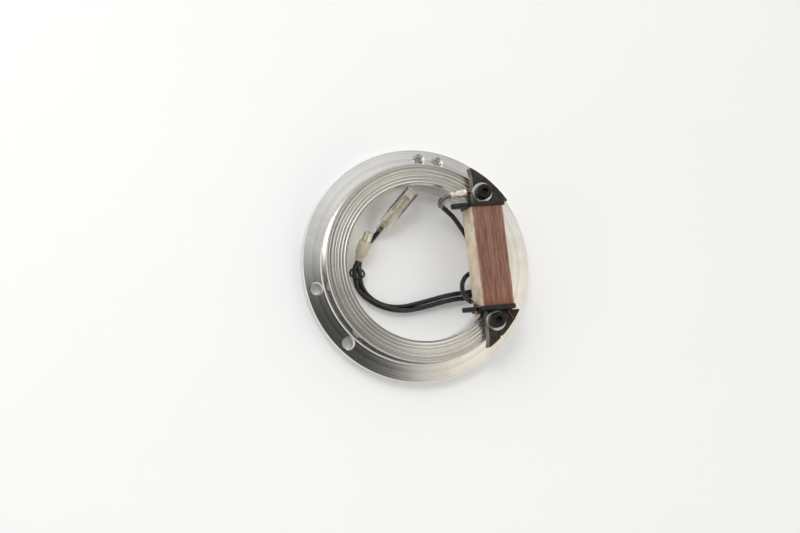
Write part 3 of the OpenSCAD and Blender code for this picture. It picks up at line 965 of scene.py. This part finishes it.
def roundedLoop(width, height, corner, perSide, perCorner):
    points = []
    for cx, cy, start in ((1, 1, 0), (-1, 1, 90), (-1, -1, 180), (1, -1, 270)):
        ox = cx * (width / 2 - corner)
        oy = cy * (height / 2 - corner)
        ring = arc(corner, start, start + 90, perCorner)
        points += [(ox + x, oy + y) for x, y in ring]
    full = []
    for i, point in enumerate(points):
        after = points[(i + 1) % len(points)]
        gap = math.dist(point, after)
        steps = perSide if gap > corner else 1
        stepX, stepY = after[0] - point[0], after[1] - point[1]
        full += [(point[0] + stepX * k / steps, point[1] + stepY * k / steps) for k in range(steps)]
    return full


def wrappedTape(c):
    # A closed shell of cloth tape: it bulges, wrinkles and lies a little askew on the bobbin.
    outer = roundedLoop(c["width"], c["width"], c["corner"], 22, 6)
    rows = c["rows"]
    made = bmesh.new()
    uvLayer = made.loops.layers.uv.new("wrap")
    varnishLayer = made.verts.layers.float.new("varnish")
    rings = []
    lengths = [0.0]
    for i, point in enumerate(outer):
        lengths.append(lengths[-1] + math.dist(point, outer[(i + 1) % len(outer)]))
    for inner in (False, True):
        for row in range(rows + 1):
            y = -c["half"] + 2 * c["half"] * row / rows
            ring = []
            for x, z in outer:
                out = Vector((x, z)).normalized()
                if not inner:
                    spot = Vector((x * 0.22, y * 0.1, z * 0.22))
                    finer = Vector((x * 0.9, y * 0.16, z * 0.9))
                    puff = c["bulge"] * noise.noise(spot) + c["wrinkle"] * noise.noise(finer)
                    puff -= c["pinch"] * abs(y / c["half"]) ** 8
                else:
                    puff = -c["thick"]
                slide = -math.tan(math.radians(c["skew"])) * y * 0.45
                place = Vector((c["x"] + x + out.x * puff + slide, y, c["z"] + z + out.y * puff))
                vert = made.verts.new(place * mm)
                soaked = (z - c["width"] / 2 + c["varnishFrom"]) / c["varnishFade"]
                soaked += 0.35 * noise.noise(Vector((x * 0.5, y * 0.3, 0)))
                vert[varnishLayer] = max(0.0, min(1.0, soaked))
                ring.append(vert)
            rings.append(ring)
    count = len(outer)

    def strip(low, high, y0, y1):
        for i in range(count):
            j = (i + 1) % count
            face = made.faces.new([low[i], low[j], high[j], high[i]])
            corners = ((lengths[i], y0), (lengths[i + 1], y0), (lengths[i + 1], y1), (lengths[i], y1))
            for loop, corner in zip(face.loops, corners):
                loop[uvLayer].uv = corner

    step = 2 * c["half"] / rows
    for row in range(rows):
        strip(rings[row], rings[row + 1], row * step, (row + 1) * step)
        strip(rings[rows + 2 + row], rings[rows + 1 + row], (row + 1) * step, row * step)
    strip(rings[rows + 1], rings[0], 0, 0)
    strip(rings[rows], rings[2 * rows + 1], 0, 0)
    mesh = meshFrom("clothWrap", made, 60)
    addPiece("clothWrap", mesh, "clothTape", "plate", ["winding_tape"])


wrappedTape(coil)
print("coil done")


# ---- Screws and washers ----

screw = {
    "seat": 23.3,
    "head": 3.5,
    "headHeight": 4,
    "flats": 3,
    "socket": 2.2,
    "shank": 2,
    "length": 14,
    "teeth": 44,
    "knurlDepth": 0.11,
}


def capScrews(s):
    meshes = []
    for side in (-1, 1):
        place = Vector((plate["screwX"], side * plate["screwY"], s["seat"]))
        matrix = pointing(place, upright) @ Matrix.Rotation(0.5 + side * 0.4, 4, "Z")
        top, head, shank, length = s["headHeight"], s["head"], s["shank"], s["length"]
        outline = [
            (0, -length), (shank - 0.3, -length), (shank, -length + 0.4), (shank, 0),
            (head - 0.15, 0), (head, 0.15), (head, 0.5), (head, 0.55), (head, top - 0.6),
            (head, top - 0.55), (head - 0.05, top - 0.4), (head - 0.4, top),
            (s["flats"] * 0.66, top), (0, top),
        ]

        def knurl(radius, along, angle):
            if radius == s["head"] and 0.52 < along < top - 0.58:
                return radius - s["knurlDepth"] * (round(angle / (math.pi / s["teeth"])) % 2)
            return radius

        made = bmesh.new()
        turn(made, outline, matrix, 2 * s["teeth"], knurl)
        body = meshFrom("screw", made)
        made = bmesh.new()
        radius = s["flats"] / math.sqrt(3)
        floor = top - s["socket"]
        turn(made, [(0, floor - 0.5), (radius, floor), (radius, top + 1), (0, top + 1)], matrix, 6)
        hexagon = meshFrom("cutter", made)
        made = bmesh.new()
        lead = [(0, top - 0.3), (radius - 0.2, top - 0.3), (radius + 0.3, top + 0.2), (0, top + 0.2)]
        turn(made, lead, matrix, 48)
        meshes.append(cut(body, [hexagon, meshFrom("cutter", made)], 30))
    mesh = joined("capScrews", meshes)
    mesh.set_sharp_from_angle(angle=math.radians(30))
    addPiece("capScrews", mesh, "blackOxide", "plate", ["coil_screws"])


capScrews(screw)
soften("coil_washers", "zincSteel", 0.12, 2)
print("screws done")


# ---- Terminals ----

for node in ("start_pin", "end_pin"):
    soften(node, "tinnedPin", 0.06, 1)
soften("end_joint", "solder", 0)
tailRoute = [
    (36.1, -25.45, 25.15),
    (36.2, -25.85, 23.6),
    (36.6, -26.65, 22.95),
    (37.5, -28.25, 22.9),
    (38.6, -29.65, 22.9),
    (39.5, -30.15, 22.9),
]
tailLoop = smoothCurve("tailLoop", [tailRoute], 0.34, materials["enamelledCopper"], "plate", 3, 8)
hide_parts("tail_wire")
soften("end_wire", "enamelledCopper", 0)


def startTerminal(p):
    matrix = pointing(p["corner"] + p["way"] * 0.55, p["way"])
    turns = helix(3.5, p["radius"] + 0.32, 2.2, 0.34, matrix, "enamelledCopper", 24, 8)
    addPiece("startWhipping", turns, "enamelledCopper", "plate", ["start_wire"])
    first = p["corner"] + p["way"] * 0.8 - Vector((0, 0, 0.74))
    last = Vector((first.x - 0.8, 25.2, first.z - 1.6))
    route = [first, first + Vector((0.2, -1.3, -0.5)), first + Vector((-0.3, -3, -1.1)), last]
    tail = smoothCurve("startTail", [route], 0.24, materials["enamelledCopper"], "plate", 3, 8)
    grip = p["crimpGrip"]
    waist = grip + p["crimpWaist"]
    end = waist + p["crimpTail"]
    outline = [
        (1.35, 0.1), (1.6, -0.05), (1.98, 0), (2.02, 0.1), (1.75, 0.8), (1.7, 1.2), (1.7, 3.2), (1.62, 3.9),
        (1.25, grip), (1.02, grip + 0.25), (1.0, waist - 0.35), (1.2, waist - 0.1), (1.5, waist + 0.15),
        (1.55, waist + 0.4), (1.55, end - 0.2), (1.45, end), (1.2, end), (1.2, waist), (0.68, waist - 0.1),
        (0.68, grip), (1.3, grip - 0.7), (1.32, 0.8),
    ]

    def pinch(radius, along, angle):
        # The barrel's two wings meet in a seam on its upper side.
        seam = max(0.0, 1 - abs((angle - math.pi) / 0.35)) if 0.9 < along < grip else 0
        deep = 0.22 * seam if radius > 1.4 else 0
        squeeze = 0.1 * math.cos(2 * angle) if 1.2 < along < grip and radius > 1 else 0
        return radius - deep - squeeze

    made = bmesh.new()
    turn(made, outline, pointing(p["corner"] + p["way"] * p["crimpFrom"], p["way"]), 64, pinch)
    mesh = meshFrom("startCrimp", made, 35)
    addPiece("startCrimp", mesh, "tinnedBrass", "plate", ["start_crimp"])


startTerminal(startPin)


def twistedStrands(name, base, way, length, replaced):
    matrix = pointing(base, way)
    wires = []
    for i in range(6):
        spun = matrix @ Matrix.Rotation(math.pi * i / 3, 4, "Z")
        wires.append(helix(length / 6, 0.42, length, 0.22, spun, "bareCopper", 20, 8))
    wires.append(helix(0.01, 0.01, length, 0.22, matrix, "bareCopper", 4, 8))
    addPiece(name, joined(name, wires), "bareCopper", "plate", [replaced])


strandStart = startPin["corner"] + startPin["way"] * 6
twistedStrands("startStrands", strandStart, startPin["way"], wireStart - 6, "start_strands")


def bulletSocket(name, s, replaced):
    barrelFrom = s["mouth"] - s["stretches"][0]
    strandTo = barrelFrom - s["stretches"][1]
    strandFrom = strandTo - s["stretches"][2]
    wireFrom = strandFrom - s["stretches"][3]
    wireIn, strandIn, bore, wall = wireDiameter / 2, 0.65, 1.95, 0.3
    mouth = s["mouth"]
    wire, strand, barrel = wireIn + wall, strandIn + wall, bore + wall
    outline = [
        (wireIn, wireFrom), (wire, wireFrom), (wire + 0.02, wireFrom + 0.3), (wire, strandFrom - 0.3),
        (strand + 0.1, strandFrom), (strand, strandFrom + 0.25), (strand, strandTo - 0.3),
        (strand - 0.1, strandTo), (strand - 0.1, barrelFrom - 0.3),
        (barrel - 0.1, barrelFrom + 0.35), (barrel, barrelFrom + 0.7), (barrel, mouth - 1.7),
        (barrel - 0.12, mouth - 1.45), (barrel - 0.12, mouth - 1.1), (barrel, mouth - 0.85),
        (barrel, mouth - 0.2), (barrel - 0.1, mouth),
        (bore + 0.05, mouth), (bore, mouth - 0.15), (bore, barrelFrom + 0.8), (0.85, barrelFrom + 0.3),
        (strandIn, barrelFrom - 0.1), (strandIn, strandFrom), (wireIn, strandFrom - 0.05),
    ]

    def seam(radius, along, angle):
        # A rolled barrel has a seam along it, and the crimps are squeezed flat.
        if along > barrelFrom + 0.5:
            return radius - 0.1 * max(0.0, 1 - abs((angle - 2.2) / 0.12))
        if strandFrom < along < strandTo and radius > 0.8:
            return radius * (1 + 0.12 * math.cos(2 * angle))
        if wireFrom <= along < strandFrom and radius > 1.3:
            return radius * (1 + 0.05 * math.cos(2 * angle))
        return radius

    made = bmesh.new()
    turn(made, outline, pointing(s["base"], s["way"]), 96, seam)
    return addPiece(name, meshFrom(name, made, 35), "tinnedBrass", "plate", [replaced])


bulletA = bulletSocket("bulletSocketA", socketA, "socket_a")
bulletB = bulletSocket("bulletSocketB", socketB, "socket_b")
for label, s in (("A", socketA), ("B", socketB)):
    base = s["base"] + s["way"] * s["wireEnd"]
    length = s["stretches"][1] + s["stretches"][2]
    twistedStrands("strands" + label, base, s["way"], length, "strands_" + label.lower())

soften("sleeve_a", "creamVinyl", 0.08, 2)
soften("sleeve_b", "clearVinyl", 0.08, 2)
soften("start_sleeve", "clearVinyl", 0)
soften("slip_ring", "slipRubber", 0)

for lead in (leadA, leadB):
    lead.data.materials.append(materials["blackVinyl"])
print("terminals and leads done")


# ---- Floor and light ----

studio = {
    "floorSize": 6,
    "paintedGlow": 0.14,
    "paintedGlowColour": (1.0, 1.0, 1.0, 1),
    "strength": 1.0,
    "sky": (0.88, 0.89, 0.9, 1),
    "dim": {"way": (-0.324, -0.415, 0.85), "colour": (0.04, 0.04, 0.04, 1), "near": 0.832, "far": 0.772},
    "beam": {"way": (0.15, 0.09, 0.985), "colour": (0.12, 0.12, 0.12, 1), "near": 0.998, "far": 0.983},
    "shade": {"way": (0.37, 0.26, 0.89), "colour": (0.5, 0.5, 0.5, 1), "near": 0.998, "far": 0.982},
    "warm": {"way": (0.85, -0.35, 0.6), "colour": (1.12, 1.03, 0.86, 1), "near": 0.96, "far": 0.7},
    "lights": (
        ("keySoftbox", (-480, 480, 740), 560, 1.5, (1.0, 1.0, 1.0)),
        ("topSoftbox", (-330, 360, 880), 220, 1.0, (1.0, 1.0, 1.0)),
        ("rimSoftbox", (300, -700, 640), 500, 0.35, (1.0, 0.99, 0.97)),
        ("fillSoftbox", (-800, -60, 420), 900, 0.5, (1.0, 0.99, 0.96)),
    ),
}


def addFloor(s):
    made = bmesh.new()
    bmesh.ops.create_grid(made, x_segments=1, y_segments=1, size=s["floorSize"] / 2)
    mesh = meshFrom("floor", made)
    floor = bpy.data.objects.new("floor", mesh)
    bpy.context.collection.objects.link(floor)
    material, tree, shader, place = newMaterial("paperSweep", Roughness=0.7)
    tone = useGroup(tree, "mottle", {"Vector": place, "Scale": 3.0, "Low": 0.2, "High": 0.8})[0]
    feed(tree, shader, mixColour(tree, tone, srgb(243, 244, 245), srgb(247, 248, 249)))
    # The floor glows a little by itself: painted light that lifts the shade in the bore and under the parts.
    shader.inputs["Emission Color"].default_value = s["paintedGlowColour"]
    shader.inputs["Emission Strength"].default_value = s["paintedGlow"]
    mesh.materials.append(material)
    floor.location.z = -0.00005


def addLight(name, place, size, power, colour):
    data = bpy.data.lights.new(name, "AREA")
    data.size = size * mm
    data.energy = power
    data.color = colour
    light = bpy.data.objects.new(name, data)
    bpy.context.collection.objects.link(light)
    light.location = Vector(place) * mm
    light.rotation_euler = (-light.location).to_track_quat("-Z", "Y").to_euler()


def addWorld(s):
    # A pale room that is dim on one side and warmer across from it, with two small shaded patches overhead.
    world = bpy.data.worlds.new("studio")
    world.use_nodes = True
    tree = world.node_tree
    ways = addNode(tree, "ShaderNodeTexCoord").outputs["Generated"]
    colour = s["sky"]
    for part in ("warm", "dim", "beam", "shade"):
        spot = s[part]
        toward = tuple(Vector(spot["way"]).normalized())
        product = addNode(tree, "ShaderNodeVectorMath", {0: ways, 1: toward}, operation="DOT_PRODUCT")
        inputs = {"Value": product.outputs["Value"], "From Min": spot["far"], "From Max": spot["near"]}
        mask = addNode(tree, "ShaderNodeMapRange", inputs, interpolation_type="SMOOTHSTEP").outputs[0]
        colour = mixColour(tree, mask, colour, spot["colour"])
    sky = tree.nodes["Background"]
    tree.links.new(colour, sky.inputs["Color"])
    sky.inputs["Strength"].default_value = s["strength"]
    bpy.context.scene.world = world


addFloor(studio)
addWorld(studio)
for light in studio["lights"]:
    addLight(*light)
bpy.context.scene.view_settings.view_transform = "Standard"
print("stage done")
